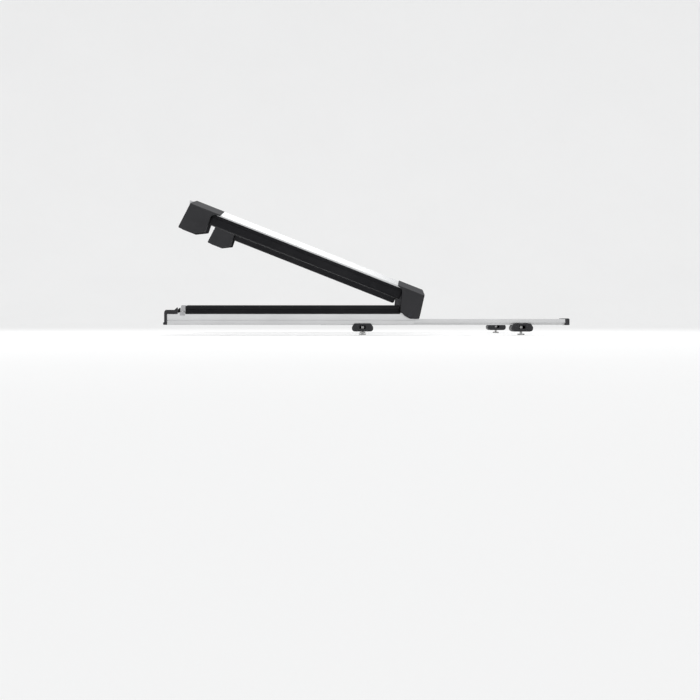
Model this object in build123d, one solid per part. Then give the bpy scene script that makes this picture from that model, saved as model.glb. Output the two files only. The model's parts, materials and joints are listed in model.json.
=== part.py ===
# Roof ski rack: two slide-out ski carriers, one on each roof bar.
# Millimetres. +Z is up and Z = 0 is the top of the roof bars, +X runs across the car from the
# loading side to the hinge, and +Y runs along the car. The origin is the centre of the four bar
# clamps. Each carrier is made about Y = 0 and then put in its place. It stands slid out and open.
# A lid piece is drawn with the lid closed, lying level, and is then turned open about the hinge.
import os

from build123d import *

os.makedirs("parts", exist_ok=True)

# The pair
CARRIER_SPACING = 700.0
CLAMP_SPACING = 480.0
OPEN_ANGLE = 21.54
CARRIERS = {"front": -CARRIER_SPACING / 2, "rear": CARRIER_SPACING / 2}

# Fixed rail, which the clamps hold
RAIL_START = -362.0
RAIL_END = 370.0
RAIL_BOTTOM = 20.0
RAIL_TOP = 38.4
FLANGE_BOTTOM = 27.0
FLANGE_HALF = 25.0
STEM_HALF = 14.0
RAIL_WALL = 2.5
PLUG_GAP = 0.3
CAP_PLATE = 4.0

# Slider rail, which wraps the fixed rail
SLIDER_START = -828.0
SLIDER_END = -84.0
SLIDER_BOTTOM = 20.5
SLIDER_TOP = 57.0
SLIDER_HALF = 30.0
SLIDER_WALL = 2.5
GROOVE_Z = 34.0
GROOVE_HALF = 1.3
GROOVE_DEPTH = 1.3
SLIDER_ROOF = SLIDER_TOP - SLIDER_WALL
SLIDER_INNER = SLIDER_HALF - SLIDER_WALL
LIP_TOP = 23.3
LIP_GAP_HALF = 16.5
GLIDE_GAP = 0.3
END_CAP_START = SLIDER_START - 3
FOOT_NUB_START = -840.0

# Hinge and lid
HINGE_X = -98.0
HINGE_Z = 50.0
HINGE_PIN_R = 4.0
BUSH_R = 5.2
LID_HALF = 34.0
LID_WALL = 2.5
ARM_START = -803.7
ARM_END = -98.7
HOOD_HALF = 38.0
ARM_BOTTOM = 115.1
ARM_TOP = 133.7
ARM_SHOULDER = 119.5
ARM_CREST_HALF = 21.0
HOOD_TOP = 135.2
HOOD_SHOULDER = 120.4
HOOD_CREST_HALF = 24.2
CAP_SCREW_PLACES = [(x, y) for x in (-792.0, -748.0, -150.0, -112.0) for y in (-12.0, 12.0)]
CAP_SCREW_R = 2.0
CAP_SCREW_HEAD_R = 3.6

# Pads
LOWER_PAD_START = -772.5
LOWER_PAD_END = -127.0
LOWER_PAD_TOP = 80.0
LOWER_PAD_HALF = 28.0
APRON_HALF = 32.0
APRON_THICK = 1.5
UPPER_PAD_START = -760.0
UPPER_PAD_END = -144.0
UPPER_PAD_BOTTOM = 82.0
UPPER_PAD_HALF = 32.0
PAD_CORNER = 5.0

# Latch
LATCH_X = -790.0
LATCH_Z = 95.0
LATCH_PIN_R = 2.5
STRIKER_X = -779.0
STRIKER_BAR_Z = 77.0
STRIKER_SPAN = (-789.5, -774.2)
STRIKER_RIVET_X = -782.0
STRIKER_TOP = SLIDER_TOP + 2
LOCK_Z = 88.0
LOCK_R = 8.0
LOCK_BOSS_R = 11.5
BUTTON_HALF = 13.0
RIVET_R = 2.0
RIVET_Y = 23.0
RUNNING = 0.05

# Slide release: the ears of the slider's end cap carry the lever's pin and overlap the slider's flanks
LEVER_HALF = 24.0
LEVER_FACE = -836.4
LEVER_TOP = 65.8
LEVER_BACK = -803.0
EAR_Y = (25.0, 32.0)
EAR_TOP = 65.0
EAR_TIP = 72.6
EAR_END = -796.0
SKIRT_DROP = 4.0
LEVER_X = -812.0
LEVER_Z = 62.8
LEVER_PIN_R = 2.0
ROD_Z = 48.5
ROD_R = 2.0
ROD_START = -819.0
BRAKE_X = -165.0
BRAKE_PIN_Z = 47.2
ROD_STROKE = 3.93
BRAKE_LIFT = ROD_STROKE / 2

# Clamps and their bolts
CLAMP_HALF = 32.0
CLAMP_WIDTH_HALF = 36.0
CLAMP_TOP = 25.0
FOOT_THICKNESS = 2.0
TRACK_LIP = 6.0
BOLT_HEAD = 20.0
BOLT_HEAD_THICKNESS = 4.0
NUT_SEAT = 8.5
NUT_FLANGE_R = 8.0
BOLT_R = 4.0
SCREW_R = 3.0
SCREW_OFFSET = 20.0
SCREW_HEAD_R = 5.0
LOOSE = 0.3


def block(x, y, z):
    """A box between two X, two Y and two Z values."""
    centre = Pos((x[0] + x[1]) / 2, (y[0] + y[1]) / 2, (z[0] + z[1]) / 2)
    return centre * Box(x[1] - x[0], y[1] - y[0], z[1] - z[0])


def outline(points, rounds=()):
    """A closed flat outline, with a radius on some of its corners."""
    shape = Polygon(*points, align=None)
    for index, radius in rounds:
        corner = shape.vertices().sort_by_distance(Vector(*points[index], 0))[0]
        shape = fillet(corner, radius)
    return shape


def across(shape, y0, y1):
    """An X-Z outline given a width from y0 to y1."""
    width = y1 - y0
    return Pos(0, (y0 + y1) / 2, 0) * extrude(Plane.XZ * shape, amount=width / 2, both=True)


def along(shape, x0, x1):
    """A Y-Z outline run along X."""
    return extrude(Plane.YZ.offset(x0) * shape, amount=x1 - x0)


def rod_y(x, z, radius, y0, y1):
    """A round bar along Y."""
    return Pos(x, (y0 + y1) / 2, z) * Rot(90, 0, 0) * Cylinder(radius, y1 - y0)


def rod_x(y, z, radius, x0, x1):
    """A round bar along X."""
    return Pos((x0 + x1) / 2, y, z) * Rot(0, 90, 0) * Cylinder(radius, x1 - x0)


def rod_z(x, y, radius, z0, z1):
    """A round bar along Z."""
    return Pos(x, y, (z0 + z1) / 2) * Cylinder(radius, z1 - z0)


def mirrored(points):
    """A half outline in Y-Z, from the foot up, closed by its mirror image."""
    return points + [(-y, z) for y, z in reversed(points)]


def coil(radius, wire_radius, pitch, turns):
    """A round wire coil about Z, from Z = 0 up."""
    path = Helix(pitch=pitch, height=pitch * turns, radius=radius)
    section = Plane(origin=path @ 0, z_dir=path % 0) * Circle(wire_radius)
    return sweep(section, path=path, is_frenet=True)


# ---------- fixed rail and what holds it ----------


def fixed_rail():
    outer = outline(mirrored([
        (STEM_HALF, RAIL_BOTTOM),
        (STEM_HALF, FLANGE_BOTTOM),
        (FLANGE_HALF, FLANGE_BOTTOM),
        (FLANGE_HALF, RAIL_TOP),
    ]))
    hollow = outline(mirrored([
        (STEM_HALF - RAIL_WALL, RAIL_BOTTOM + 2 * RAIL_WALL),
        (STEM_HALF - RAIL_WALL, FLANGE_BOTTOM + RAIL_WALL),
        (FLANGE_HALF - RAIL_WALL, FLANGE_BOTTOM + RAIL_WALL),
        (FLANGE_HALF - RAIL_WALL, RAIL_TOP - RAIL_WALL),
    ]))
    rail = along(outer - hollow, RAIL_START, RAIL_END)
    for x in clamp_places():
        for side in (-1, 1):
            rail -= rod_z(x + side * SCREW_OFFSET, 0, SCREW_R + 0.1, RAIL_BOTTOM - 1, RAIL_BOTTOM + 6)
    return rail


def rail_cap_outline(top):
    return outline(mirrored([
        (STEM_HALF, RAIL_BOTTOM),
        (STEM_HALF, FLANGE_BOTTOM),
        (FLANGE_HALF, FLANGE_BOTTOM),
        (FLANGE_HALF, top),
    ]), [(3, 2.0), (4, 2.0)])


def rail_plug(x0, x1):
    inset = RAIL_WALL + PLUG_GAP
    half = FLANGE_HALF - inset
    return block((x0, x1), (-half, half), (FLANGE_BOTTOM + inset, RAIL_TOP - inset))


def rail_outer_cap():
    plate = along(rail_cap_outline(RAIL_TOP), RAIL_START - CAP_PLATE, RAIL_START)
    return plate + rail_plug(RAIL_START, RAIL_START + 12)


def rail_inner_cap():
    half = FLANGE_HALF + 1
    side = outline([
        (RAIL_END, RAIL_BOTTOM - 0.4),
        (RAIL_END + 13, RAIL_BOTTOM - 0.4),
        (RAIL_END + 13, RAIL_TOP + 1.6),
        (RAIL_END - 10, RAIL_TOP + 1.6),
        (RAIL_END - 10, RAIL_TOP),
        (RAIL_END, RAIL_TOP),
    ], [(1, 2.5), (2, 4.0)])
    return across(side, -half, half) + rail_plug(RAIL_END - 12, RAIL_END)


def rail_glides():
    outer = SLIDER_INNER - GLIDE_GAP
    half = [
        (12.0, RAIL_TOP),
        (FLANGE_HALF, RAIL_TOP),
        (FLANGE_HALF, FLANGE_BOTTOM + 2),
        (outer, FLANGE_BOTTOM + 2),
        (outer, SLIDER_ROOF - GLIDE_GAP),
        (12.0, SLIDER_ROOF - GLIDE_GAP),
    ]
    glide = along(outline(half), RAIL_START + 2, RAIL_START + 32)
    return [glide, mirror(glide, Plane.XZ)]


def clamp_places():
    return (-CLAMP_SPACING / 2, CLAMP_SPACING / 2)


def bar_clamp(x):
    side = outline([
        (x - 29, FOOT_THICKNESS), (x + 29, FOOT_THICKNESS), (x + CLAMP_HALF, 7), (x + CLAMP_HALF, 14),
        (x + 25, CLAMP_TOP), (x - 25, CLAMP_TOP), (x - CLAMP_HALF, 14), (x - CLAMP_HALF, 7),
    ], [(0, 2), (1, 2), (4, 5), (5, 5)])
    clamp = across(side, -CLAMP_WIDTH_HALF, CLAMP_WIDTH_HALF)
    clamp -= block((x - 40, x + 40), (-SLIDER_HALF - 1.2, SLIDER_HALF + 1.2), (RAIL_BOTTOM, 30))
    clamp -= block((x - 9, x + 9), (-40, 9), (NUT_SEAT, NUT_SEAT + 10))
    clamp -= rod_z(x, 0, BOLT_R + LOOSE, 0, 10)
    for side_x in (x - SCREW_OFFSET, x + SCREW_OFFSET):
        clamp -= rod_z(side_x, 0, SCREW_R + LOOSE, 0, 22)
        clamp -= rod_z(side_x, 0, SCREW_HEAD_R + 2 * LOOSE, 0, 8)
    return clamp


def clamp_feet(x):
    foot = block((x - 27, x + 27), (STEM_HALF, 33), (0, FOOT_THICKNESS))
    return [foot, mirror(foot, Plane.XZ)]


def t_bolt(x):
    foot = -TRACK_LIP - BOLT_HEAD_THICKNESS
    head = Pos(x, 0, foot) * extrude(RectangleRounded(BOLT_HEAD, BOLT_HEAD, 3), amount=BOLT_HEAD_THICKNESS)
    return head + rod_z(x, 0, BOLT_R, -TRACK_LIP, 18)


def clamp_nut(x):
    flange = rod_z(x, 0, NUT_FLANGE_R, NUT_SEAT, NUT_SEAT + 1.5)
    body = Pos(x, 0, NUT_SEAT + 1.5) * extrude(RegularPolygon(6.5, 6, major_radius=False), amount=6.5)
    return flange + body - rod_z(x, 0, BOLT_R + RUNNING, 8, 17)


def clamp_screws(x):
    made = []
    for side_x in (x - SCREW_OFFSET, x + SCREW_OFFSET):
        head = rod_z(side_x, 0, SCREW_HEAD_R, 3, 8)
        socket = Pos(side_x, 0, 3) * extrude(RegularPolygon(2.5, 6, major_radius=False), amount=3)
        made.append(head + rod_z(side_x, 0, SCREW_R, 8, RAIL_BOTTOM + 4.8) - socket)
    return made


# ---------- slider ----------


def slider_section():
    """The slider's outside, with a groove along each flank, over its hollow and its open mouth."""
    outside = outline(mirrored([
        (SLIDER_HALF, SLIDER_BOTTOM),
        (SLIDER_HALF, GROOVE_Z - GROOVE_HALF),
        (SLIDER_HALF - GROOVE_DEPTH, GROOVE_Z - GROOVE_HALF + 0.4),
        (SLIDER_HALF - GROOVE_DEPTH, GROOVE_Z + GROOVE_HALF - 0.4),
        (SLIDER_HALF, GROOVE_Z + GROOVE_HALF),
        (SLIDER_HALF, SLIDER_TOP),
    ]), [(0, 1), (5, 1.5), (6, 1.5), (11, 1)])
    hollow = outline(mirrored([
        (SLIDER_INNER, LIP_TOP),
        (SLIDER_INNER, SLIDER_ROOF),
    ]))
    mouth = outline(mirrored([
        (LIP_GAP_HALF, SLIDER_BOTTOM - 1),
        (LIP_GAP_HALF, LIP_TOP + 1),
    ]))
    return outside - hollow - mouth


def slider_rail():
    rail = along(slider_section(), SLIDER_START, SLIDER_END)
    rail -= block((-822, -790.5), (-16, 16), (SLIDER_ROOF - 1, SLIDER_TOP + 1))
    rail -= rod_y(HINGE_X, HINGE_Z, BUSH_R, -40, 40)
    for side in (-1, 1):
        rail -= rod_z(STRIKER_RIVET_X, side * RIVET_Y, RIVET_R + RUNNING, SLIDER_ROOF - 1, SLIDER_TOP + 1)
    return rail


def slider_end_cap():
    plate = along(outline(mirrored([
        (SLIDER_HALF, SLIDER_BOTTOM), (SLIDER_HALF, SLIDER_TOP),
    ]), [(0, 2), (1, 2), (2, 2), (3, 2)]), END_CAP_START, SLIDER_START)
    foot = across(outline([
        (FOOT_NUB_START, SLIDER_BOTTOM), (END_CAP_START, SLIDER_BOTTOM), (END_CAP_START, 29.5),
        (FOOT_NUB_START + 3, 29.5), (FOOT_NUB_START, 26.5),
    ], [(0, 2.5)]), -29, 29)
    ring = block((-828, -821), (-27.2, 27.2), (24.5, 54.3))
    ring -= block((-829, -820), (-23.5, 23.5), (27.5, 52.3))
    cap = plate + foot + ring
    ear = across(outline([
        (LEVER_FACE, 22), (SLIDER_START, 22),
        (SLIDER_START, SLIDER_TOP - SKIRT_DROP), (EAR_END, SLIDER_TOP - SKIRT_DROP),
        (EAR_END, EAR_TIP), (EAR_END - 2, EAR_TIP), (EAR_END - 10, EAR_TOP), (LEVER_FACE, EAR_TOP),
    ], [(0, 2), (7, 8)]), *EAR_Y)
    ear -= block((SLIDER_START, EAR_END + 1), (0, SLIDER_HALF), (50, SLIDER_TOP))
    cap += ear + mirror(ear, Plane.XZ)
    return cap - rod_y(LEVER_X, LEVER_Z, LEVER_PIN_R, -30, 30)


def slider_glides():
    top = block((-139, -107), (12, SLIDER_INNER), (RAIL_TOP + GLIDE_GAP, SLIDER_ROOF))
    low = block((-139, -107), (17, SLIDER_INNER), (LIP_TOP, FLANGE_BOTTOM - GLIDE_GAP))
    return [top, low, mirror(top, Plane.XZ), mirror(low, Plane.XZ)]


def lower_pad():
    """The strip on the slider's top, with a thin apron over each of the slider's top edges."""
    side = outline([
        (LOWER_PAD_START, SLIDER_TOP), (LOWER_PAD_END, SLIDER_TOP),
        (LOWER_PAD_END, LOWER_PAD_TOP), (LOWER_PAD_START, LOWER_PAD_TOP),
    ], [(2, PAD_CORNER), (3, PAD_CORNER)])
    apron = along(outline([
        (LOWER_PAD_HALF - 1, SLIDER_TOP), (SLIDER_HALF, SLIDER_TOP),
        (SLIDER_HALF, SLIDER_TOP - SKIRT_DROP), (APRON_HALF, SLIDER_TOP - SKIRT_DROP),
        (APRON_HALF, SLIDER_TOP + APRON_THICK), (LOWER_PAD_HALF - 1, SLIDER_TOP + APRON_THICK),
    ], [(4, 1)]), LOWER_PAD_START, LOWER_PAD_END)
    return across(side, -LOWER_PAD_HALF, LOWER_PAD_HALF) + apron + mirror(apron, Plane.XZ)


def hinge_bushes():
    bush = rod_y(HINGE_X, HINGE_Z, BUSH_R, SLIDER_INNER, SLIDER_HALF)
    bush += rod_y(HINGE_X, HINGE_Z, 9, SLIDER_HALF, LID_HALF - 0.1)
    bush -= rod_y(HINGE_X, HINGE_Z, HINGE_PIN_R + RUNNING, 20, 40)
    return [bush, mirror(bush, Plane.XZ)]


def striker():
    half = SLIDER_HALF + 2
    plate = block(STRIKER_SPAN, (-half, half), (SLIDER_TOP, STRIKER_TOP))
    for y in ((-half, -SLIDER_HALF), (SLIDER_HALF, half)):
        plate += block(STRIKER_SPAN, y, (48.6, STRIKER_TOP))
    start, end = STRIKER_SPAN
    for y in ((-12, -9), (9, 12)):
        post = outline([
            (start + 0.5, STRIKER_TOP), (end - 0.5, STRIKER_TOP),
            (end - 1.5, STRIKER_BAR_Z + 3), (start + 1.5, STRIKER_BAR_Z + 3),
        ], [(2, 2), (3, 3)])
        plate += across(post, *y)
    plate += rod_y(STRIKER_X, STRIKER_BAR_Z, 2.8, -11, 11)
    for side in (-1, 1):
        plate -= rod_z(STRIKER_RIVET_X, side * RIVET_Y, RIVET_R + RUNNING, 56, STRIKER_TOP + 1)
    return plate


def striker_rivets():
    made = []
    for y in (-RIVET_Y, RIVET_Y):
        dome = Pos(STRIKER_RIVET_X, y, STRIKER_TOP) * (Sphere(4.2) & Pos(0, 0, 2) * Box(10, 10, 4))
        flat = Pos(STRIKER_RIVET_X, y, STRIKER_TOP + 7) * Box(12, 12, 10)
        shank = rod_z(STRIKER_RIVET_X, y, RIVET_R, SLIDER_ROOF + 0.1, STRIKER_TOP)
        made.append(dome - flat + shank)
    return made


def lever_pin():
    return rod_y(LEVER_X, LEVER_Z, LEVER_PIN_R, -29, 29)


def lever_spring():
    wire = coil(2.9, 0.5, 1.2, 3)
    return Pos(LEVER_X, 13.2, LEVER_Z) * Rot(90, 0, 0) * wire


def brake_housing():
    frame = block((-190, -140), (-13, 13), (RAIL_TOP + 0.9, SLIDER_ROOF))
    frame -= block((-184.5, -145.5), (-11.5, 11.5), (30, 60))
    return frame - block((-200, -180), (-3.6, 3.6), (42.8, SLIDER_ROOF - 0.6))


# ---------- slide release ----------


def release_lever():
    side = outline([
        (LEVER_FACE, LEVER_TOP), (LEVER_FACE, 31), (LEVER_FACE + 4.8, 31), (LEVER_FACE + 4.8, 60),
        (LEVER_BACK, 60), (LEVER_BACK, LEVER_TOP),
    ], [(0, 6), (1, 1.5), (2, 1.5), (5, 2)])
    lever = across(side, -LEVER_HALF, LEVER_HALF)
    lever += block((LEVER_X - 3, LEVER_X + 3), (-5, 5), (45.8, 61))
    lever -= block((LEVER_X - 4, LEVER_X + 4), (-2.7, 2.7), (40, 53))
    lever -= block((LEVER_X - 5.5, LEVER_X + 6.5), (8.5, 15), (50, 70))
    lever -= block((LEVER_X + 3.5, LEVER_BACK + 1), (-7.5, 7.5), (50, 80))
    return lever - rod_y(LEVER_X, LEVER_Z, LEVER_PIN_R + RUNNING, -30, 30)


def pull_rod():
    wedge = block((-193, -150), (-2.6, 2.6), (43.5, 53))
    slope = Vector(ROD_STROKE, BRAKE_LIFT)
    slot = SlotCenterToCenter(slope.length, 2 * (ROD_R + 0.2))
    centre = Pos(BRAKE_X + ROD_STROKE / 2, BRAKE_PIN_Z + BRAKE_LIFT / 2)
    wedge -= across(centre * Rot(0, 0, 26.565) * slot, -5, 5)
    rod = rod_x(0, ROD_Z, ROD_R, ROD_START, -192)
    collar = rod_x(0, ROD_Z, 3.5, ROD_START + 0.5, LEVER_X - 3.6)
    return rod + collar + wedge


def brake_shoe():
    shoe = block((-184, -146), (-11, 11), (RAIL_TOP + GLIDE_GAP, 41.2))
    for y in ((-10, -6.5), (6.5, 10)):
        post = outline([
            (-173, 41), (-157, 41), (-160, 50), (-170, 50),
        ], [(2, 2.5), (3, 2.5)])
        shoe += across(post, *y)
    return shoe + rod_y(BRAKE_X, BRAKE_PIN_Z, ROD_R, -8, 8)


# ---------- lid, drawn closed ----------


def opened(shape):
    """Turns a lid piece from closed to open."""
    return shape.rotate(Axis((HINGE_X, 0, HINGE_Z), (0, 1, 0)), OPEN_ANGLE)


def closed(shape):
    """Turns a shape that is placed against the open lid back to where the lid is drawn."""
    return shape.rotate(Axis((HINGE_X, 0, HINGE_Z), (0, 1, 0)), -OPEN_ANGLE)


def lid_section(half, foot, shoulder, crest_half, crest):
    """A level foot, upright flanks and a bevel on each side of a flat crest."""
    return outline(mirrored([(half, foot), (half, shoulder), (crest_half, crest)]))


def lid_arm():
    outer = lid_section(LID_HALF, ARM_BOTTOM, ARM_SHOULDER, ARM_CREST_HALF, ARM_TOP)
    hollow = lid_section(
        LID_HALF - LID_WALL, ARM_BOTTOM + LID_WALL, ARM_SHOULDER - 1, ARM_CREST_HALF - 1, ARM_TOP - LID_WALL
    )
    return along(outer - hollow, ARM_START, ARM_END)


def upper_pad():
    side = outline([
        (UPPER_PAD_START, ARM_BOTTOM), (UPPER_PAD_START, UPPER_PAD_BOTTOM),
        (UPPER_PAD_END, UPPER_PAD_BOTTOM), (UPPER_PAD_END, ARM_BOTTOM),
    ], [(1, PAD_CORNER), (2, PAD_CORNER)])
    return across(side, -UPPER_PAD_HALF, UPPER_PAD_HALF)


def hood(side_view, inside_view):
    """A hood over the lid's end: two cheeks, a bevelled top and an end wall, open underneath."""
    outer_section = lid_section(HOOD_HALF, 0, HOOD_SHOULDER, HOOD_CREST_HALF, HOOD_TOP)
    inner_section = lid_section(LID_HALF, 0, ARM_SHOULDER, ARM_CREST_HALF, ARM_TOP)
    solid = across(side_view, -HOOD_HALF, HOOD_HALF) & along(outer_section, -900, 0)
    hollow = across(inside_view, -LID_HALF, LID_HALF) & along(inner_section, -900, 0)
    return solid - hollow


def outer_cap():
    side_view = outline([
        (-833.7, 122.6), (-842.1, 39.3), (-794.8, 39.4), (-760.4, 57.5),
        (-762.7, 113), (-738, 117), (-732.6, HOOD_TOP), (-820, HOOD_TOP),
    ], [(0, 3), (1, 4), (2, 8), (3, 4), (4, 14), (5, 2), (7, 5)])
    inside_view = outline([
        (-830.2, 121), (-838.6, 30), (-700, 30), (-700, ARM_TOP), (-818, ARM_TOP),
    ], [(0, 3)])
    cap = hood(side_view, inside_view)
    cap -= block((-850, -825), (-LID_HALF, LID_HALF), (30, 67))
    cap -= block((-850, -825), (-LEVER_HALF - 2, LEVER_HALF + 2), (60, 73))
    window = BUTTON_HALF + 0.4
    cap -= block((-850, -822), (-window, window), (110.6, 129.9))
    cap += rod_x(0, LOCK_Z, LOCK_BOSS_R, -837, -822)
    cap -= rod_x(0, LOCK_Z, LOCK_R + RUNNING, -850, -815)
    cap += rod_y(LATCH_X, LATCH_Z, 6, -LID_HALF, -7) + rod_y(LATCH_X, LATCH_Z, 6, 13, LID_HALF)
    return cap - rod_y(LATCH_X, LATCH_Z, LATCH_PIN_R, -30, 30)


def hinge_cap():
    side_view = outline([
        (-166.5, HOOD_TOP), (-163, 118), (-147, 113), (-128.6, 49), (-110, 41.5), (-93, 39.8),
        (-67.6, 49.6), (-70.5, 70.3), (-78.7, 122.6), (-90, HOOD_TOP),
    ], [(1, 2), (2, 8), (3, 7), (4, 12), (6, 4), (7, 30), (8, 9), (9, 6)])
    inside_view = outline([
        (-200, ARM_TOP), (-200, 30), (-82, 30), (-74.5, 69.5), (-82.2, 120.5), (-93.5, ARM_TOP),
    ], [(3, 20), (4, 5), (5, 3)])
    cap = hood(side_view, inside_view)
    cap -= closed(block((-92, -50), (-28, 28), (30, 42.6)))
    cap += closed(block((SLIDER_END + 0.3, -72.5), (-18, 18), (42.8, 47)))
    return cap - rod_y(HINGE_X, HINGE_Z, HINGE_PIN_R, -50, 50)


def hinge_pin():
    pin = rod_y(HINGE_X, HINGE_Z, HINGE_PIN_R, -HOOD_HALF, HOOD_HALF)
    for y in ((-HOOD_HALF - 2, -HOOD_HALF), (HOOD_HALF, HOOD_HALF + 2)):
        pin += rod_y(HINGE_X, HINGE_Z, 6.5, *y)
    return pin


def latch_pin():
    return rod_y(LATCH_X, LATCH_Z, LATCH_PIN_R, -30, 30)


def latch_spring():
    wire = coil(4.2, 0.6, 1.4, 3)
    return Pos(LATCH_X, 12.2, LATCH_Z) * Rot(90, 0, 0) * wire


def cap_screws():
    made = []
    for x, y in CAP_SCREW_PLACES:
        head = rod_z(x, y, CAP_SCREW_HEAD_R, ARM_TOP, HOOD_TOP - 0.2)
        shank = rod_z(x, y, CAP_SCREW_R, ARM_TOP - 8, ARM_TOP)
        socket = Pos(x, y, HOOD_TOP - 1.1) * extrude(RegularPolygon(1.6, 6, major_radius=False), amount=2)
        made.append(head + shank - socket)
    return made


def screw_holes(shape):
    for x, y in CAP_SCREW_PLACES:
        shape -= rod_z(x, y, CAP_SCREW_HEAD_R + 2 * RUNNING, ARM_TOP, HOOD_TOP + 1)
        shape -= rod_z(x, y, CAP_SCREW_R + RUNNING, ARM_TOP - 4, ARM_TOP + 1)
    return shape


def release_button():
    side = outline([
        (-843, 129.5), (-837.2, 111), (-806, 111), (-806, 129.5),
    ], [(0, 1.5), (1, 1)])
    button = across(side, -BUTTON_HALF, BUTTON_HALF)
    button -= block((-831, -800), (-BUTTON_HALF, BUTTON_HALF), (114.8, 130))
    button += block((-812, -797.3), (-5, 5), (110, 113.5))
    return button + block((-818, -815), (-3, 3), (98, 112))


def latch_hook():
    hook = across(outline([
        (-797, 113), (-797, 96), (-793.5, 88), (-793.5, 66), (-787, 63), (-777.4, 70.5),
        (-777.4, 72.8), (-786, 72.8), (-786, 90), (-790, 100), (-790, 113),
    ], [(0, 2), (10, 2), (4, 2)]), -6, 6)
    hook += rod_y(LATCH_X, LATCH_Z, 6.2, -6, 6)
    return hook - rod_y(LATCH_X, LATCH_Z, LATCH_PIN_R + RUNNING, -10, 10)


def lock_barrel():
    barrel = rod_x(0, LOCK_Z, LOCK_R, -842.5, -815.5)
    barrel += rod_x(0, LOCK_Z, 3, -816, -809)
    barrel += block((-812, -809), (-1, 13), (LOCK_Z - 2.5, LOCK_Z + 2.5))
    keyway = block((-845, -840.5), (-0.8, 0.8), (LOCK_Z - 3.5, LOCK_Z + 3.5))
    return barrel - keyway


# ---------- writing ----------


def solids_of(made):
    """The separate solids of one piece or of a list of pieces."""
    pieces = made if isinstance(made, (list, tuple)) else [made]
    return [solid for piece in pieces for solid in piece.solids()]


def write(name, made, offsets=(0.0,)):
    """Writes one node, with a copy of its solids at each Y offset."""
    solids = [Pos(0, y, 0) * solid for y in offsets for solid in solids_of(made)]
    export_step(solids[0] if len(solids) == 1 else Compound(children=solids), f"parts/{name}.step")


def write_shared():
    """Pieces of the fixed part that are alike on both carriers."""
    places = tuple(CARRIERS.values())
    write("rail_outer_caps", rail_outer_cap(), places)
    write("rail_inner_caps", rail_inner_cap(), places)
    write("rail_glides", rail_glides(), places)
    write("clamp_feet", [foot for x in clamp_places() for foot in clamp_feet(x)], places)
    write("t_bolts", [t_bolt(x) for x in clamp_places()], places)
    write("clamp_nuts", [clamp_nut(x) for x in clamp_places()], places)
    write("clamp_screws", [screw for x in clamp_places() for screw in clamp_screws(x)], places)


def write_carrier(side, y):
    """One carrier's own pieces."""
    still = {
        "fixed_rail": fixed_rail(),
        "bar_clamps": [bar_clamp(x) for x in clamp_places()],
        "slider_rail": slider_rail(),
        "slider_end_cap": slider_end_cap(),
        "slider_glides": slider_glides(),
        "lower_pad": lower_pad(),
        "hinge_bushes": hinge_bushes(),
        "striker": striker(),
        "striker_rivets": striker_rivets(),
        "lever_pin": lever_pin(),
        "lever_spring": lever_spring(),
        "brake_housing": brake_housing(),
        "release_lever": release_lever(),
        "pull_rod": pull_rod(),
        "brake_shoe": brake_shoe(),
    }
    lid = {
        "lid_arm": screw_holes(lid_arm()),
        "upper_pad": upper_pad(),
        "outer_cap": screw_holes(outer_cap()),
        "hinge_cap": screw_holes(hinge_cap()),
        "hinge_pin": hinge_pin(),
        "latch_pin": latch_pin(),
        "latch_spring": latch_spring(),
        "cap_screws": cap_screws(),
        "release_button": release_button(),
        "latch_hook": latch_hook(),
        "lock_barrel": lock_barrel(),
    }
    for name, made in still.items():
        write(f"{side}_{name}", made, (y,))
    for name, made in lid.items():
        write(f"{side}_{name}", [opened(solid) for solid in solids_of(made)], (y,))


write_shared()
for carrier, place in CARRIERS.items():
    write_carrier(carrier, place)
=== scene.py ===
import json
import math

import bmesh
import bpy
from mathutils import Matrix, Vector


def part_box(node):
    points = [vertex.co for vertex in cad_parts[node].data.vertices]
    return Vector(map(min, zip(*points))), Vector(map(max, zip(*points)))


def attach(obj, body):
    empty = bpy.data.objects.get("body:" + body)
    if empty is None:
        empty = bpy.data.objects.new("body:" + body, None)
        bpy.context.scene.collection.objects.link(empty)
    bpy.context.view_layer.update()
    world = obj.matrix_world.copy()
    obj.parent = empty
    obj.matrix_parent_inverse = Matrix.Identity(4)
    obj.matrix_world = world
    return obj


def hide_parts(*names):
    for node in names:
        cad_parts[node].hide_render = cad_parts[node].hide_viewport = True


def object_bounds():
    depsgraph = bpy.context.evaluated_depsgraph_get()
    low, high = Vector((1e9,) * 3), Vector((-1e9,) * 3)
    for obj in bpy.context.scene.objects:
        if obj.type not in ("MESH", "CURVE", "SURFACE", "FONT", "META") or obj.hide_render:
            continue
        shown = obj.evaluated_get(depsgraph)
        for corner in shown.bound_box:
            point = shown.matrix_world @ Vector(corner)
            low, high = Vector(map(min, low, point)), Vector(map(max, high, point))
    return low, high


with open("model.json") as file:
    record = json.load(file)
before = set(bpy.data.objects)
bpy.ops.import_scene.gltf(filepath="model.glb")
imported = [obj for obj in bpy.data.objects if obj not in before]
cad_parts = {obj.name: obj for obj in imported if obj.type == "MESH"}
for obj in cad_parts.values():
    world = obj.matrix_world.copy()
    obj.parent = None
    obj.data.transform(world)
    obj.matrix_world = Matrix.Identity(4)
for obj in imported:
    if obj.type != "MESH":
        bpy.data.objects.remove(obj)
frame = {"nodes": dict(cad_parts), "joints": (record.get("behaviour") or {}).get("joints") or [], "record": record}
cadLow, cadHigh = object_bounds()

mm = 0.001
weldGap = 0.000004  # vertices nearer than this are one
sides = ("front", "rear")
joints = {joint["name"]: joint for joint in frame["joints"]}
openAngle = math.radians(joints["front_lid_hinge"]["range_deg"][1])
carrierY = {side: joints[side + "_lid_hinge"]["pos_m"][1] for side in sides}


def boxOf(points):
    low = Vector(min(p[i] for p in points) for i in range(3))
    high = Vector(max(p[i] for p in points) for i in range(3))
    return low, high


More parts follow.
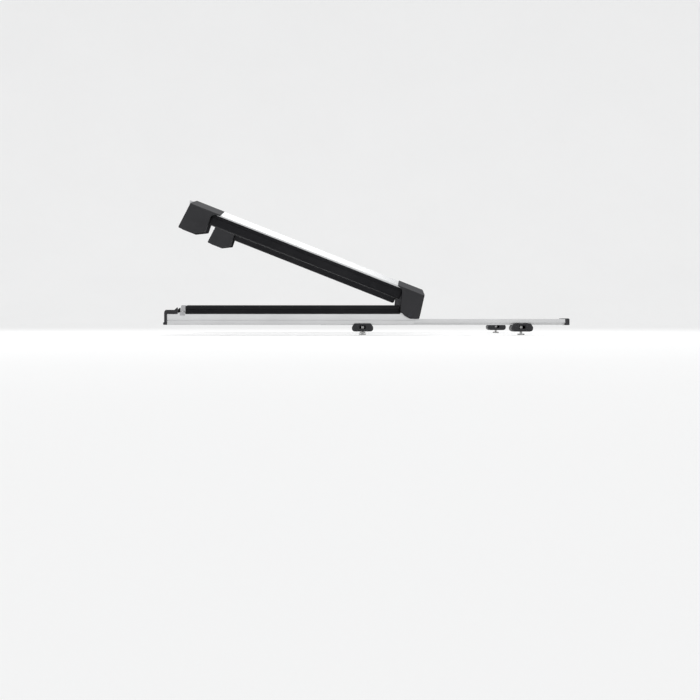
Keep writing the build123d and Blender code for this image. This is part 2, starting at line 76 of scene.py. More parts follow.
def tipOpen(side):  # from the level, closed lid to the open one
    point = Vector(joints[side + "_lid_hinge"]["pos_m"])
    return Matrix.Translation(point) @ Matrix.Rotation(openAngle, 4, "Y") @ Matrix.Translation(-point)


def levelBox(side, name):  # a lid node's box with the lid lying level
    back = tipOpen(side).inverted()
    return boxOf([back @ v.co for v in frame["nodes"][f"{side}_{name}"].data.vertices])


def put(tree, kind, values=None, **settings):  # a node, with its sockets set or linked
    made = tree.nodes.new(kind)
    for key, value in settings.items():
        setattr(made, key, value)
    for key, value in (values or {}).items():
        if isinstance(value, bpy.types.NodeSocket):
            tree.links.new(value, made.inputs[key])
        else:
            made.inputs[key].default_value = value
    return made


def linked(name, mesh):
    piece = bpy.data.objects.new(name, mesh)
    bpy.context.scene.collection.objects.link(piece)
    return piece


def meshFrom(name, bm, material, smoothAngle):
    bmesh.ops.recalc_face_normals(bm, faces=bm.faces)
    mesh = bpy.data.meshes.new(name)
    bm.to_mesh(mesh)
    bm.free()
    mesh.materials.append(material)
    piece = linked(name, mesh)
    smoothByAngle(piece, smoothAngle)
    return piece


def smoothByAngle(piece, angle):
    limit = math.radians(angle)
    bm = bmesh.new()
    bm.from_mesh(piece.data)
    for face in bm.faces:
        face.smooth = True
    for edge in bm.edges:
        edge.smooth = len(edge.link_faces) == 2 and edge.calc_face_angle(0) < limit
    bm.to_mesh(piece.data)
    bm.free()


def baked(piece):  # the evaluated mesh takes the modifiers' place
    graph = bpy.context.evaluated_depsgraph_get()
    mesh = bpy.data.meshes.new_from_object(piece.evaluated_get(graph))
    piece.modifiers.clear()
    piece.data = mesh


def settle(piece, body, slot, *nodes):  # rides its body and stands for CAD nodes
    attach(piece, body)
    if nodes:
        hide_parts(*nodes)


def blankMaterial(name):
    material = bpy.data.materials.new(name)
    material.use_nodes = True
    tree = material.node_tree
    shader = tree.nodes["Principled BSDF"]
    place = put(tree, "ShaderNodeTexCoord").outputs["Object"]
    return material, tree, shader, place


def turned(tree, place, scale, angle=0.0):  # a pattern's own grid, turned to the lid's slope
    values = {"Vector": place, "Rotation": (0, angle, 0), "Scale": scale}
    return put(tree, "ShaderNodeMapping", values).outputs[0]


def noise(tree, vector, scale, detail=2.0, roughness=0.5):
    values = {"Vector": vector, "Scale": scale, "Detail": detail, "Roughness": roughness}
    return put(tree, "ShaderNodeTexNoise", values).outputs["Fac"]


def voronoi(tree, vector, scale, output):
    return put(tree, "ShaderNodeTexVoronoi", {"Vector": vector, "Scale": scale}).outputs[output]


def upwardPart(tree, vector):
    return put(tree, "ShaderNodeSeparateXYZ", {0: vector}).outputs[2]


def span(tree, value, low, high, fromLow=0.3, fromHigh=0.7):
    values = {0: value, 1: fromLow, 2: fromHigh, 3: low, 4: high}
    return put(tree, "ShaderNodeMapRange", values).outputs[0]


def tint(tree, factor, first, second):  # the first colour may come from another node
    if not isinstance(first, bpy.types.NodeSocket):
        first = (*first, 1)
    values = {0: factor, 6: first, 7: (*second, 1)}
    return put(tree, "ShaderNodeMix", values, data_type="RGBA").outputs[2]


def relief(tree, shader, height, strength, distance):
    bump = put(tree, "ShaderNodeBump", {"Height": height, "Strength": strength, "Distance": distance})
    tree.links.new(bump.outputs[0], shader.inputs["Normal"])


metalGrain = {
    "grid": (1.5, 900, 900), "dieLines": (1.0, 4.0, 0.65), "cloud": (14.0, 3.0), "specks": (2600.0, 1.0),
    # the grey below is painted shade, mixed in towards the lower edge
    "shade": (0.35, 1.1), "relief": (0.25, 0.00004), "film": (0.42, 0.42, 0.42),
}


def anodisedAluminium(name, look, angle=0.0):
    material, tree, shader, place = blankMaterial(name)
    grid = turned(tree, place, metalGrain["grid"], angle)
    drawn = noise(tree, grid, *metalGrain["dieLines"])
    cloud = noise(tree, place, *metalGrain["cloud"])
    specks = noise(tree, place, *metalGrain["specks"])  # etched sparkle
    shade = put(tree, "ShaderNodeMath", {0: drawn, 1: cloud}, operation="MULTIPLY_ADD").outputs[0]
    colour = tint(tree, span(tree, shade, 0, 1, *metalGrain["shade"]), look["deep"], look["bright"])
    height = upwardPart(tree, place)
    film = span(tree, height, look["film"], 0, *look["paintedShadeHeights"])  # painted shade: the colour darkens towards the lower edge
    colour = tint(tree, film, colour, metalGrain["film"])
    tree.links.new(colour, shader.inputs["Base Color"])
    tree.links.new(span(tree, specks, look["smoothest"], look["roughest"]), shader.inputs["Roughness"])
    shader.inputs["Metallic"].default_value = look["metallic"]
    relief(tree, shader, drawn, *metalGrain["relief"])
    return material


plasticGrain = {
    "fineRatio": 2.2, "fine": 2.0, "cloud": (22.0, 3.0), "rubbedEdge": (0.505, 0.58),
    "facingUp": (0.25, 0.75), "reliefDepth": 0.0001,
}


def mouldedPlastic(name, look):
    material, tree, shader, place = blankMaterial(name)
    cells = voronoi(tree, place, look["grain"], "Distance")
    fine = noise(tree, place, look["grain"] * plasticGrain["fineRatio"], plasticGrain["fine"])
    cloud = noise(tree, place, *plasticGrain["cloud"])
    edge = put(tree, "ShaderNodeNewGeometry").outputs["Pointiness"]
    rubbed = span(tree, edge, 0, look["wear"], *plasticGrain["rubbedEdge"])
    upward = upwardPart(tree, put(tree, "ShaderNodeNewGeometry").outputs["Normal"])
    paintedTopLight = span(tree, upward, 0, 1, *plasticGrain["facingUp"])  # painted light: faces that point up are made lighter, as if lit from above
    body = tint(tree, span(tree, cloud, 0, 1), look["deep"], look["bright"])
    body = tint(tree, paintedTopLight, body, look["paintedTopLight"])
    tree.links.new(tint(tree, rubbed, body, look["rubbed"]), shader.inputs["Base Color"])
    tree.links.new(span(tree, fine, look["smoothest"], look["roughest"]), shader.inputs["Roughness"])
    shader.inputs["Specular IOR Level"].default_value = look["specular"]
    grain = put(tree, "ShaderNodeMath", {0: cells, 1: fine}, operation="ADD").outputs[0]
    relief(tree, shader, grain, look["relief"], plasticGrain["reliefDepth"])
    return material


rubberGrain = {
    "pores": (1800.0, 3.0, 0.6), "dust": (9.0, 5.0, 0.6), "dusted": (0.4, 0.75), "sheen": 0.02,
    "sheenRoughness": 0.6, "specular": 0.16, "relief": (0.35, 0.00008),
}


def softRubber(name, look):
    material, tree, shader, place = blankMaterial(name)
    pores = noise(tree, place, *rubberGrain["pores"])
    dust = noise(tree, place, *rubberGrain["dust"])
    colour = tint(tree, span(tree, dust, 0, 1, *rubberGrain["dusted"]), look["deep"], look["dusty"])
    tree.links.new(colour, shader.inputs["Base Color"])
    tree.links.new(span(tree, pores, look["smoothest"], look["roughest"]), shader.inputs["Roughness"])
    shader.inputs["Sheen Weight"].default_value = rubberGrain["sheen"]
    shader.inputs["Sheen Roughness"].default_value = rubberGrain["sheenRoughness"]
    shader.inputs["Specular IOR Level"].default_value = rubberGrain["specular"]
    relief(tree, shader, pores, *rubberGrain["relief"])
    return material


steelGrain = {"grid": (120, 1500, 1500), "scratch": (1.0, 3.0, 0.7), "relief": (0.12, 0.00003)}


def platedSteel(name, look):
    material, tree, shader, place = blankMaterial(name)
    spangle = voronoi(tree, place, look["spangle"], "Color")
    grey = put(tree, "ShaderNodeSeparateColor", {0: spangle}).outputs[0]
    scratch = noise(tree, turned(tree, place, steelGrain["grid"]), *steelGrain["scratch"])
    tree.links.new(tint(tree, grey, look["deep"], look["bright"]), shader.inputs["Base Color"])
    tree.links.new(span(tree, scratch, look["smoothest"], look["roughest"]), shader.inputs["Roughness"])
    shader.inputs["Metallic"].default_value = 1.0
    relief(tree, shader, scratch, *steelGrain["relief"])
    return material


metalLooks = {
    "rail": {
        "deep": (0.57, 0.575, 0.58), "bright": (0.8, 0.805, 0.81), "smoothest": 0.3, "roughest": 0.42,
        # the film amount and heights below paint shade onto the rail's lower part
        "metallic": 0.85, "film": 0.48, "paintedShadeHeights": (0.018, 0.058),
    },
    "lid": {
        "deep": (0.46, 0.465, 0.47), "bright": (0.66, 0.665, 0.67), "smoothest": 0.26, "roughest": 0.36,
        # no painted shade on the lid
        "metallic": 0.85, "film": 0.0, "paintedShadeHeights": (0.0, 0.1),
    },
}
# each look's upward-face colour is painted light from above
plasticLooks = {
    "hood": {
        "deep": (0.008, 0.008, 0.0095), "bright": (0.013, 0.013, 0.015), "rubbed": (0.05, 0.05, 0.055),
        "paintedTopLight": (0.06, 0.06, 0.064), "grain": 900.0, "wear": 0.4, "smoothest": 0.4, "roughest": 0.55,
        "specular": 0.3, "relief": 0.22,
    },
    "button": {
        "deep": (0.5, 0.51, 0.52), "bright": (0.58, 0.59, 0.6), "rubbed": (0.66, 0.67, 0.68),
        "paintedTopLight": (0.6, 0.61, 0.62), "grain": 1100.0, "wear": 0.4, "smoothest": 0.35, "roughest": 0.5,
        "specular": 0.5, "relief": 0.12,
    },
    "glide": {
        "deep": (0.62, 0.61, 0.56), "bright": (0.74, 0.73, 0.68), "rubbed": (0.8, 0.79, 0.74),
        "paintedTopLight": (0.7, 0.69, 0.64), "grain": 700.0, "wear": 0.3, "smoothest": 0.3, "roughest": 0.45,
        "specular": 0.5, "relief": 0.06,
    },
}
rubberLooks = {
    "pad": {
        "deep": (0.006, 0.006, 0.0075), "dusty": (0.011, 0.011, 0.0125),
        "smoothest": 0.6, "roughest": 0.8,
    },
    "foot": {
        "deep": (0.02, 0.02, 0.02), "dusty": (0.05, 0.048, 0.045),
        "smoothest": 0.7, "roughest": 0.9,
    },
}
steelLooks = {
    "zinc": {
        "deep": (0.52, 0.52, 0.52), "bright": (0.62, 0.62, 0.61), "spangle": 1800.0,
        "smoothest": 0.28, "roughest": 0.42,
    },
    "striker": {
        "deep": (0.34, 0.34, 0.35), "bright": (0.46, 0.46, 0.47), "spangle": 1500.0,
        "smoothest": 0.22, "roughest": 0.36,
    },
    "spring": {
        "deep": (0.13, 0.13, 0.14), "bright": (0.24, 0.24, 0.25), "spangle": 900.0,
        "smoothest": 0.3, "roughest": 0.4,
    },
    "black": {
        "deep": (0.03, 0.03, 0.034), "bright": (0.06, 0.06, 0.066), "spangle": 700.0,
        "smoothest": 0.3, "roughest": 0.42,
    },
    "lock": {
        "deep": (0.6, 0.6, 0.62), "bright": (0.66, 0.66, 0.68), "spangle": 3000.0,
        "smoothest": 0.12, "roughest": 0.2,
    },
}

railMetal = anodisedAluminium("satinRailAluminium", metalLooks["rail"])
lidMetal = anodisedAluminium("brightLidAluminium", metalLooks["lid"], -openAngle)
hoodPlastic = mouldedPlastic("charcoalMoulding", plasticLooks["hood"])
buttonPlastic = mouldedPlastic("lightGreyMoulding", plasticLooks["button"])
glidePlastic = mouldedPlastic("naturalAcetal", plasticLooks["glide"])
padSkin = softRubber("padRubber", rubberLooks["pad"])
footSkin = softRubber("footRubber", rubberLooks["foot"])
zincSteel = platedSteel("zincPlatedSteel", steelLooks["zinc"])
strikerSteel = platedSteel("strikerSteel", steelLooks["striker"])
springSteel = platedSteel("springWire", steelLooks["spring"])
blackSteel = platedSteel("blackZincSteel", steelLooks["black"])
lockSteel = platedSteel("lockPlating", steelLooks["lock"])
bySlot = {
    "silver_aluminium": railMetal,
    "lid_aluminium": lidMetal,
    "black_moulding": hoodPlastic,
    "pad_rubber": padSkin,
    "foot_rubber": footSkin,
    "button_plastic": buttonPlastic,
    "zinc_steel": zincSteel,
    "striker_steel": strikerSteel,
    "spring_steel": springSteel,
    "glide_plastic": glidePlastic,
    "black_steel": blackSteel,
    "lock_metal": lockSteel,
    "brake_block": footSkin,
}
slotOf = {part["node"]: part["material_slot"] for part in frame["record"]["subparts"]}
for node, piece in frame["nodes"].items():
    piece.data.materials.clear()
    piece.data.materials.append(bySlot[slotOf[node]])
print("materials ready")


edgeBreaks = {  # node ending: (edge radius in mm, steps)
    "outer_cap": (1.2, 3),
    "hinge_cap": (1.2, 3),
    "slider_end_cap": (0.6, 2),
    "release_lever": (0.7, 2),
    "bar_clamps": (0.8, 2),
    "release_button": (0.6, 2),
    "striker": (0.35, 2),
    "lid_arm": (0.5, 2),
    "slider_rail": (0.3, 2),
    "fixed_rail": (0.4, 2),
}
edgeRules = {"flat": 0.6, "sharp": 32, "smooth": 40}  # degrees
edgePieces = (
    ("outer_cap", "lid"), ("hinge_cap", "lid"), ("slider_end_cap", "slider"), ("release_lever", "lever"),
    ("release_button", "button"), ("striker", "slider"), ("lid_arm", "lid"), ("slider_rail", "slider"),
)


def brokenEdges(side, ending, body):
    node = f"{side}_{ending}"
    source = frame["nodes"][node]
    flat = math.radians(edgeRules["flat"])
    bm = bmesh.new()
    bm.from_mesh(source.data)
    bmesh.ops.remove_doubles(bm, verts=bm.verts, dist=weldGap)
    bmesh.ops.dissolve_limit(bm, angle_limit=flat, verts=bm.verts, edges=bm.edges)
    mesh = bpy.data.meshes.new(f"{node}_finished")
    bm.to_mesh(mesh)
    bm.free()
    mesh.materials.append(bySlot[slotOf[node]])
    piece = linked(f"{node}_finished", mesh)
    radius, steps = edgeBreaks[ending]
    bevel = piece.modifiers.new("edges", "BEVEL")
    bevel.width = radius * mm
    bevel.segments = steps
    bevel.limit_method = "ANGLE"
    bevel.angle_limit = math.radians(edgeRules["sharp"])
    bevel.use_clamp_overlap = True
    bevel.miter_outer = "MITER_ARC"
    baked(piece)
    smoothByAngle(piece, edgeRules["smooth"])
    evened = piece.modifiers.new("evened", "WEIGHTED_NORMAL")
    evened.keep_sharp = True
    baked(piece)
    settle(piece, body, slotOf[node], node)


for side in sides:
    for ending, part in edgePieces:
        brokenEdges(side, ending, f"{side}_{part}")
    brokenEdges(side, "bar_clamps", "root")
    brokenEdges(side, "fixed_rail", "root")
print("mouldings finished")


def repeater():  # lays copies of a piece's own mesh out in two directions
    tree = bpy.data.node_groups.new("repeatInRows", "GeometryNodeTree")
    face = tree.interface
    face.new_socket("Geometry", in_out="INPUT", socket_type="NodeSocketGeometry")
    kinds = {"Count": "Int", "Step": "Vector", "Rows": "Int", "Row Step": "Vector", "Finish": "Material"}
    sockets = {}
    for name, kind in kinds.items():
        sockets[name] = face.new_socket(name, in_out="INPUT", socket_type=f"NodeSocket{kind}").identifier
    face.new_socket("Geometry", in_out="OUTPUT", socket_type="NodeSocketGeometry")
    given = tree.nodes.new("NodeGroupInput").outputs
    line = {"Count": given["Count"], "Offset": given["Step"]}
    row = put(tree, "GeometryNodeMeshLine", line, mode="OFFSET")
    line = {"Count": given["Rows"], "Offset": given["Row Step"]}
    rows = put(tree, "GeometryNodeMeshLine", line, mode="OFFSET")
    grid = put(tree, "GeometryNodeInstanceOnPoints", {"Points": rows.outputs[0], "Instance": row.outputs[0]})
    grid = put(tree, "GeometryNodeRealizeInstances", {0: grid.outputs[0]})
    copies = {"Points": grid.outputs[0], "Instance": given["Geometry"]}
    laid = put(tree, "GeometryNodeInstanceOnPoints", copies)
    real = put(tree, "GeometryNodeRealizeInstances", {0: laid.outputs[0]})
    finish = {"Geometry": real.outputs[0], "Material": given["Finish"]}
    done = put(tree, "GeometryNodeSetMaterial", finish)
    put(tree, "NodeGroupOutput", {0: done.outputs[0]})
    return tree, sockets


rowTree, rowSockets = repeater()


def repeated(piece, material, count, step):  # a single row
    made = piece.modifiers.new("rows", "NODES")
    made.node_group = rowTree
    values = {"Count": count, "Step": step, "Rows": 1, "Row Step": (0, 0, 0), "Finish": material}
    for name, value in values.items():
        made[rowSockets[name]] = value
    baked(piece)


barShape = {"steps": 6, "tipWidth": 0.55, "tipHeight": 0.35, "smooth": 50}


def barMesh(name, centre, size, across, rise, soft, material):  # a low rib with rounded ends
    bm = bmesh.new()
    steps = barShape["steps"]
    half, reach = size[0] / 2, size[1] / 2
    loops = []
    for end, inset in ((-1, soft), (-1, 0), (1, 0), (1, soft)):
        place = end * (reach - (0 if inset else soft))
        loop = []
        for step in range(steps + 1):
            turn = math.pi * step / steps
            wide = half * (barShape["tipWidth"] if inset else 1.0)
            tall = size[2] * (barShape["tipHeight"] if inset else 1.0)
            spot = centre + across * (wide * math.cos(turn)) + rise * (tall * math.sin(turn))
            loop.append(bm.verts.new(spot + across.cross(rise) * place))
        loops.append(loop)
    for first, second in zip(loops, loops[1:]):
        for k in range(steps + 1):
            other = (k + 1) % (steps + 1)
            bm.faces.new((first[k], first[other], second[other], second[k]))
    bm.faces.new(loops[0])
    bm.faces.new(loops[-1])
    return meshFrom(name, bm, material, barShape["smooth"])


def joinedInto(name, pieces):  # several meshes as one piece
    bm = bmesh.new()
    materials = []
    for piece in pieces:
        material = piece.data.materials[0]
        if material not in materials:
            materials.append(material)
        start = len(bm.faces)
        bm.from_mesh(piece.data)
        bm.faces.ensure_lookup_table()
        for face in bm.faces[start:]:
            face.material_index = materials.index(material)
    mesh = bpy.data.meshes.new(name)
    bm.to_mesh(mesh)
    bm.free()
    for material in materials:
        mesh.materials.append(material)
    for piece in pieces:
        bpy.data.objects.remove(piece)
    return linked(name, mesh)


padLook = {  # in mm
    "corner": 6.0, "cornerSteps": 5, "seatEdge": 1.0, "crown": 0.9, "smooth": 42,
    "sideGroove": (8.0, 1.6, 2.2), "sideGrooveSlope": 0.7,
    "ribPitch": 6.2, "ribGroove": 2.4, "grooveFloor": 0.5, "grooveDepth": 1.3, "flatMargin": 2.0,
    "endRound": 5.0, "endSteps": (0, 0.4, 1.2, 2.6), "endHollow": (2.2, 1.6),
    "nibPitch": 14.0, "nibWide": 3.2, "nibShort": 13.0, "nibTall": 0.9, "nibEnd": 1.5, "nibBite": 0.15,
}


def padSection(half, depth):  # right half, from the middle of the seat to the middle of the face, in mm
    start, cut, wide = padLook["sideGroove"]
    slope, seat = padLook["sideGrooveSlope"], padLook["seatEdge"]
    corner, crown = padLook["corner"], padLook["crown"]
    points = [(0, 0), (half - seat, 0), (half, seat), (half, start)]
    points += [(half - cut, start + slope), (half - cut, start + wide - slope), (half, start + wide)]
    for step in range(padLook["cornerSteps"] + 1):
        turn = math.pi / 2 * step / padLook["cornerSteps"]
        bow = corner * math.sin(turn)
        points.append((half - corner + corner * math.cos(turn), depth - crown - corner + bow))
    flat = half - corner
    grooves = int((flat - padLook["flatMargin"]) // padLook["ribPitch"])
    sink = padLook["ribGroove"] / 2
    floor = sink * padLook["grooveFloor"]
    for k in range(grooves, 0, -1):
        middle = k * padLook["ribPitch"]
        top = depth - crown * (middle / half) ** 2
        bottom = top - padLook["grooveDepth"]
        points += [(middle + sink, top), (middle + floor, bottom)]
        points += [(middle - floor, bottom), (middle - sink, top)]
    points.append((0, depth))
    return points


def padMesh(name, start, end, half, seat, facing, depth, middleY, place):
    section = padSection(half, depth)
    whole = section + [(-y, z) for y, z in reversed(section[1:-1])]
    softEnd = padLook["endRound"]
    steps = (*padLook["endSteps"], softEnd)
    insets = [(d, softEnd - math.sqrt(softEnd ** 2 - (softEnd - d) ** 2)) for d in steps]
    stations = [(start + d, shrink) for d, shrink in insets]
    stations += [(end - d, shrink) for d, shrink in reversed(insets)]
    bm = bmesh.new()
    rings = []
    for x, shrink in stations:
        ring = []
        for y, z in whole:
            wide = y * (half - shrink) / half
            tall = z - shrink * z / depth
            ring.append(bm.verts.new(place @ (Vector((x, wide + middleY, seat + facing * tall)) * mm)))
        rings.append(ring)
    count = len(whole)
    for first, second in zip(rings, rings[1:]):
        for k in range(count):
            bm.faces.new((first[k], first[(k + 1) % count], second[(k + 1) % count], second[k]))
    ends = [bm.faces.new(rings[0]), bm.faces.new(rings[-1])]
    bmesh.ops.recalc_face_normals(bm, faces=bm.faces)
    rim, hollow = padLook["endHollow"]
    for face in ends:  # the sunk end of a hollow extrusion
        bmesh.ops.inset_region(bm, faces=[face], thickness=rim * mm, depth=-hollow * mm)
    return meshFrom(name, bm, padSkin, padLook["smooth"])


apronLook = {"out": 4.0, "drop": 4.0, "skin": 2.0, "thick": 1.5, "bite": 0.6, "lowEdge": 0.5, "topEdge": 0.8}


def apronMesh(name, start, end, half, seat, middleY, way):  # one flap folded over the slider's top edge
    skin, drop, thick = apronLook["skin"], apronLook["drop"], apronLook["thick"]
    low, top = apronLook["lowEdge"], apronLook["topEdge"]
    root, outer = half - apronLook["bite"], half + apronLook["out"]
    inner = outer - skin
    section = [
        (root, 0), (inner, 0), (inner, -drop + low), (inner + low, -drop), (outer - low, -drop),
        (outer, -drop + low), (outer, thick - top), (outer - top, thick), (root, thick),
    ]
    bm = bmesh.new()
    rings = []
    for x in (start, end):
        rings.append([bm.verts.new(Vector((x, middleY + way * y, seat + z)) * mm) for y, z in section])
    count = len(section)
    for k in range(count):
        other = (k + 1) % count
        bm.faces.new((rings[0][k], rings[0][other], rings[1][other], rings[1][k]))
    bm.faces.new(rings[0])
    bm.faces.new(rings[1])
    return meshFrom(name, bm, padSkin, padLook["smooth"])


def ribbedPad(side, name, body, facing, place):
    low, high = levelBox(side, name) if body == "lid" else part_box(f"{side}_{name}")
    low, high = low / mm, high / mm
    middleY = (high.y + low.y) / 2
    aprons = []
    if body == "slider":
        low += Vector((0, apronLook["out"], apronLook["drop"]))
        high.y -= apronLook["out"]
    half, depth = (high.y - low.y) / 2, high.z - low.z
    if body == "slider":
        for k, way in enumerate((-1, 1)):
            aprons.append(apronMesh(f"{side}_{name}_apron{k}", low.x, high.x, half, low.z, middleY, way))
    seat = low.z if facing > 0 else high.z
    pad = padMesh(f"{side}_{name}_body", low.x, high.x, half, seat, facing, depth, middleY, place)
    face = seat + facing * (depth - padLook["crown"] - padLook["nibBite"])
    pitch = padLook["nibPitch"]
    count = int((high.x - low.x - 2 * pitch) // pitch) + 1
    first = (low.x + high.x - (count - 1) * pitch) / 2
    spot = place @ (Vector((first, middleY, face)) * mm)
    size = (padLook["nibWide"] * mm, (2 * half - padLook["nibShort"]) * mm, padLook["nibTall"] * mm)
    turn = place.to_3x3()
    across, rise = turn @ Vector((1, 0, 0)), turn @ Vector((0, 0, facing))
    nib = barMesh(f"{side}_{name}_nibs", spot, size, across, rise, padLook["nibEnd"] * mm, padSkin)
    repeated(nib, padSkin, count, turn @ Vector((pitch * mm, 0, 0)))
    whole = joinedInto(f"{side}_{name}_finished", [pad, nib] + aprons)
    settle(whole, f"{side}_{body}", "pad_rubber", f"{side}_{name}")


for side in sides:
    ribbedPad(side, "lower_pad", "slider", 1, Matrix.Identity(4))
    ribbedPad(side, "upper_pad", "lid", -1, tipOpen(side))
print("pads finished")


footLook = {  # in mm
    "cornerRound": (3.0, 4), "bottomRound": (0.5, 2), "smooth": 40,
    "treadPitch": 4.0, "tread": (2.2, 0.7), "treadShort": 3.0, "treadEnd": 1.0, "treadMargin": 8.0,
}


def islandsOf(mesh):  # the vertex places of each separate solid
    bm = bmesh.new()
    bm.from_mesh(mesh)
    bmesh.ops.remove_doubles(bm, verts=bm.verts, dist=weldGap)
    islands, seen = [], set()
    for start in bm.verts:
        if start in seen:
            continue
        pile, group = [start], []
        seen.add(start)
        while pile:
            vertex = pile.pop()
            group.append(vertex.co.copy())
            for edge in vertex.link_edges:
                other = edge.other_vert(vertex)
                if other not in seen:
                    seen.add(other)
                    pile.append(other)
        islands.append(group)
    bm.free()
    return islands


def footStrip(k, low, high):
    wide, deep = (v * mm for v in footLook["tread"])
    pitch = footLook["treadPitch"] * mm
    cornerRound, cornerSteps = footLook["cornerRound"]
    bottomRound, bottomSteps = footLook["bottomRound"]
    bm = bmesh.new()
    bmesh.ops.create_cube(bm, size=1)
    size = Vector((high.x - low.x, high.y - low.y, high.z - low.z - deep))
    middle = Vector(((low.x + high.x) / 2, (low.y + high.y) / 2, high.z - size.z / 2))
    for vertex in bm.verts:
        vertex.co = middle + Vector(a * b for a, b in zip(vertex.co, size))
    upright = [e for e in bm.edges if abs(e.verts[0].co.z - e.verts[1].co.z) > size.z / 2]
    bmesh.ops.bevel(
        bm, geom=upright, offset=cornerRound * mm, segments=cornerSteps, affect="EDGES", profile=0.5
    )
    bottom = [e for e in bm.edges if all(v.co.z < middle.z for v in e.verts)]
    bmesh.ops.bevel(
        bm, geom=bottom, offset=bottomRound * mm, segments=bottomSteps, affect="EDGES", profile=0.5
    )
    strip = meshFrom(f"footStrip{k}", bm, footSkin, footLook["smooth"])
    count = int((size.x - footLook["treadMargin"] * mm) // pitch) + 1
    spot = Vector((middle.x - (count - 1) * pitch / 2, middle.y, low.z + deep))
    bar = (wide, size.y - footLook["treadShort"] * mm, deep)
    across, rise = Vector((1, 0, 0)), Vector((0, 0, -1))
    tread = barMesh(f"footTread{k}", spot, bar, across, rise, footLook["treadEnd"] * mm, footSkin)
    repeated(tread, footSkin, count, (pitch, 0, 0))
    return [strip, tread]


def footStrips():
    pieces = []
    for k, group in enumerate(islandsOf(frame["nodes"]["clamp_feet"].data)):
        pieces += footStrip(k, *boxOf(group))
    settle(joinedInto("clamp_feet_finished", pieces), "root", "foot_rubber", "clamp_feet")


footStrips()


gripLook = {  # in mm
    "lever": {"count": 6, "pitch": 3.6, "size": (1.7, 38.0, 0.6), "end": 1.0, "top": 54.0},
    "button": {
        "count": 4, "pitch": 3.0, "size": (1.5, 20.0, 0.8), "end": 0.8, "gap": 4.5, "face": (5.8, 18.5),
    },
}


def leverGrips(side):
    look = gripLook["lever"]
    size = tuple(v * mm for v in look["size"])
    spot = Vector((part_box(f"{side}_release_lever")[0].x, carrierY[side], look["top"] * mm))
    across, rise = Vector((0, 0, 1)), Vector((-1, 0, 0))
    rib = barMesh(f"{side}_lever_grips", spot, size, across, rise, look["end"] * mm, hoodPlastic)
    repeated(rib, hoodPlastic, look["count"], (0, 0, -look["pitch"] * mm))
    settle(rib, f"{side}_lever", "black_moulding")


def buttonGrips(side):  # on the wedge's slanting face
    look = gripLook["button"]
    low, high = levelBox(side, "release_button")
    lean, tall = look["face"]
    top = Vector((low.x, carrierY[side], high.z))
    base = top + Vector((lean * mm, 0, -tall * mm))
    climb = (top - base).normalized()
    out = Vector((-climb.z, 0, climb.x))
    place = tipOpen(side)
    turn = place.to_3x3()
    size = tuple(v * mm for v in look["size"])
    spot = place @ (base + climb * look["gap"] * mm)
    name = f"{side}_button_grips"
    rib = barMesh(name, spot, size, turn @ climb, turn @ out, look["end"] * mm, buttonPlastic)
    repeated(rib, buttonPlastic, look["count"], turn @ (climb * look["pitch"] * mm))
    settle(rib, f"{side}_button", "button_plastic")


for side in sides:
    leverGrips(side)
    buttonGrips(side)
print("feet and grips finished")


stageLook = {
    "floorSize": 30.0, "coveStart": 5.0, "coveRadius": 4.0, "coveSteps": 24, "wall": 8.0, "gap": 0.0006,
    "cloud": (1.3, 3.0), "dull": (0.9, 0.9, 0.9), "clean": (0.93, 0.93, 0.93), "roughness": 0.85,
}


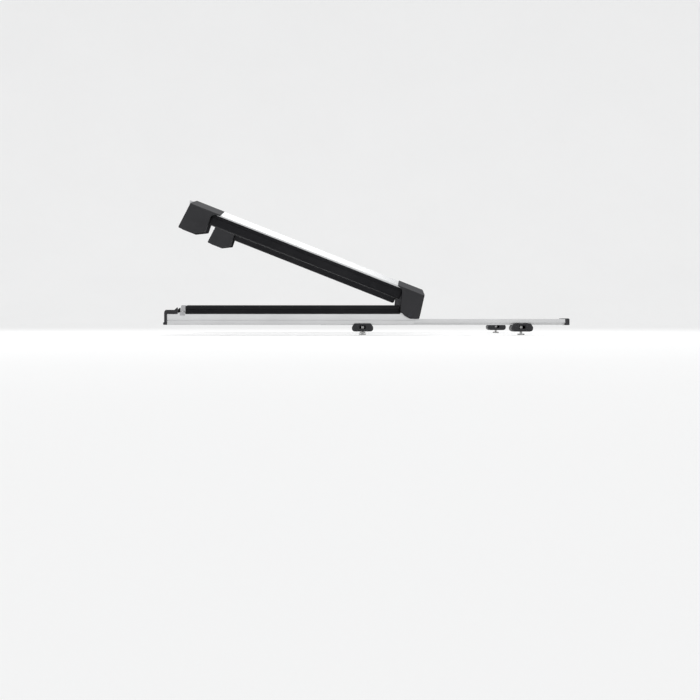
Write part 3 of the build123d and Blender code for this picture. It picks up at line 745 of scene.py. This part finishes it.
def makeStage():
    floorZ = cadLow.z - stageLook["gap"]
    start, radius, half = stageLook["coveStart"], stageLook["coveRadius"], stageLook["floorSize"] / 2
    steps = stageLook["coveSteps"]
    profile = [(-half, floorZ), (start, floorZ)]
    for step in range(1, steps + 1):
        turn = math.pi / 2 * step / steps
        profile.append((start + radius * math.sin(turn), floorZ + radius * (1 - math.cos(turn))))
    profile.append((start + radius, floorZ + radius + stageLook["wall"]))
    bm = bmesh.new()
    rows = [[bm.verts.new((x, y, z)) for x in (-half, half)] for y, z in profile]
    for a, b in zip(rows, rows[1:]):
        bm.faces.new((a[0], a[1], b[1], b[0]))
    mesh = bpy.data.meshes.new("studioFloor")
    bm.to_mesh(mesh)
    bm.free()
    material, tree, shader, place = blankMaterial("paleFloor")
    cloud = noise(tree, place, *stageLook["cloud"])
    tree.links.new(tint(tree, cloud, stageLook["dull"], stageLook["clean"]), shader.inputs["Base Color"])
    shader.inputs["Roughness"].default_value = stageLook["roughness"]
    shader.inputs["Specular IOR Level"].default_value = 0.0
    mesh.materials.append(material)
    for face in mesh.polygons:
        face.use_smooth = True
    linked("studioFloor", mesh)


makeStage()

lamps = [  # name, place, aim, size, power
    ("topSoftbox", (-0.3, -0.3, 2.9), (-0.25, 0.0, 0.1), 2.4, 26),
    ("keySoftbox", (-2.6, -2.2, 2.4), (-0.4, 0.0, 0.15), 1.6, 8),
]
air = {"colour": (0.995, 0.998, 1.0, 1), "strength": 0.94}


def makeLamps():
    for name, spot, aim, size, power in lamps:
        data = bpy.data.lights.new(name, "AREA")
        data.shape = "DISK"
        data.size = size
        data.energy = power
        lamp = bpy.data.objects.new(name, data)
        lamp.location = spot
        lamp.rotation_euler = (Vector(aim) - Vector(spot)).to_track_quat("-Z", "Y").to_euler()
        bpy.context.scene.collection.objects.link(lamp)
    world = bpy.data.worlds.new("studioAir")
    world.use_nodes = True
    backdrop = world.node_tree.nodes["Background"]
    backdrop.inputs["Color"].default_value = air["colour"]
    backdrop.inputs["Strength"].default_value = air["strength"]
    bpy.context.scene.world = world


makeLamps()

view = {
    "distance": 3.681,  # from the near carrier's front
    "eye": (-0.2418, 0.0291),
    "lens": 63.1,
    "film": 36,
    "shift": (-0.0171, -0.04),
}


def makeCamera():  # level, looking along the car
    data = bpy.data.cameras.new("camera")
    data.lens = view["lens"]
    data.sensor_width = view["film"]
    data.shift_x, data.shift_y = view["shift"]
    camera = bpy.data.objects.new("camera", data)
    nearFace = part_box("front_outer_cap")[0].y
    camera.location = (view["eye"][0], nearFace - view["distance"], view["eye"][1])
    camera.rotation_euler = (math.radians(90), 0, 0)
    bpy.context.scene.collection.objects.link(camera)
    bpy.context.scene.camera = camera


makeCamera()
bpy.context.scene.view_settings.view_transform = "Standard"
print("stage, lamps and camera ready")
